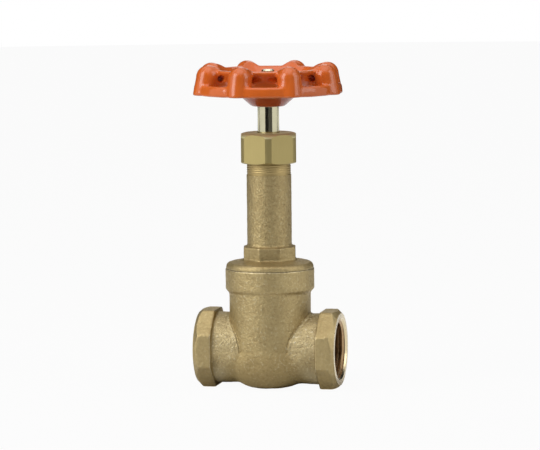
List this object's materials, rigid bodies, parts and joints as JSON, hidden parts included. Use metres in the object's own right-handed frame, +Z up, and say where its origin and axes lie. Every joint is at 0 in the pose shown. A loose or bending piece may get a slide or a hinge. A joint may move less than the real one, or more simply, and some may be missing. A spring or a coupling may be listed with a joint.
{
  "type": "gate valve",
  "caption": "Rising-stem wedge gate valve with straight octagonal threaded pipe ends, a screwed bonnet, a packing nut and a dished handwheel with rounded lobes.",
  "frame": {"origin": "centre of the plane that the valve stands on, on the stem's axis, under the body", "axes": "+Z up along the stem, +X along the waterway towards the outlet, +Y away from the viewer of the picture"},
  "size_m": [0.0694, 0.0694, 0.1468],
  "materials": {
    "cast_bronze": "sand cast",
    "gasket_sheet": "matt",
    "turned_brass": "turned",
    "stem_brass": "polished",
    "nut_brass": "machined satin",
    "packing": "matt",
    "orange_enamel": "gloss enamel"
  },
  "bodies": {
    "valve_body": {"body": "cast_bronze", "bonnet": "cast_bronze", "bonnet_gasket": "gasket_sheet", "packing_ring_lower": "packing", "packing_ring_middle": "packing", "packing_ring_upper": "packing", "gland": "turned_brass", "packing_nut": "nut_brass"},
    "gate": {"wedge": "turned_brass"},
    "spindle": {"stem": "stem_brass", "handwheel": "orange_enamel", "wheel_washer": "turned_brass", "wheel_nut": "turned_brass"}
  },
  "joints": [
    {"name": "wedge_lift", "type": "slide", "parent": "valve_body", "child": "gate", "axis": [0, 0, 1], "range_m": [0, 0.022]},
    {"name": "stem_turn", "type": "hinge", "parent": "gate", "child": "spindle", "pos_m": [0, 0, 0.0175], "axis": [0, 0, 1], "range_deg": [0, 2640]}
  ],
  "couplings": [
    {"joint": "wedge_lift", "follows": "stem_turn", "m_per_rad": 0.00047746}
  ]
}
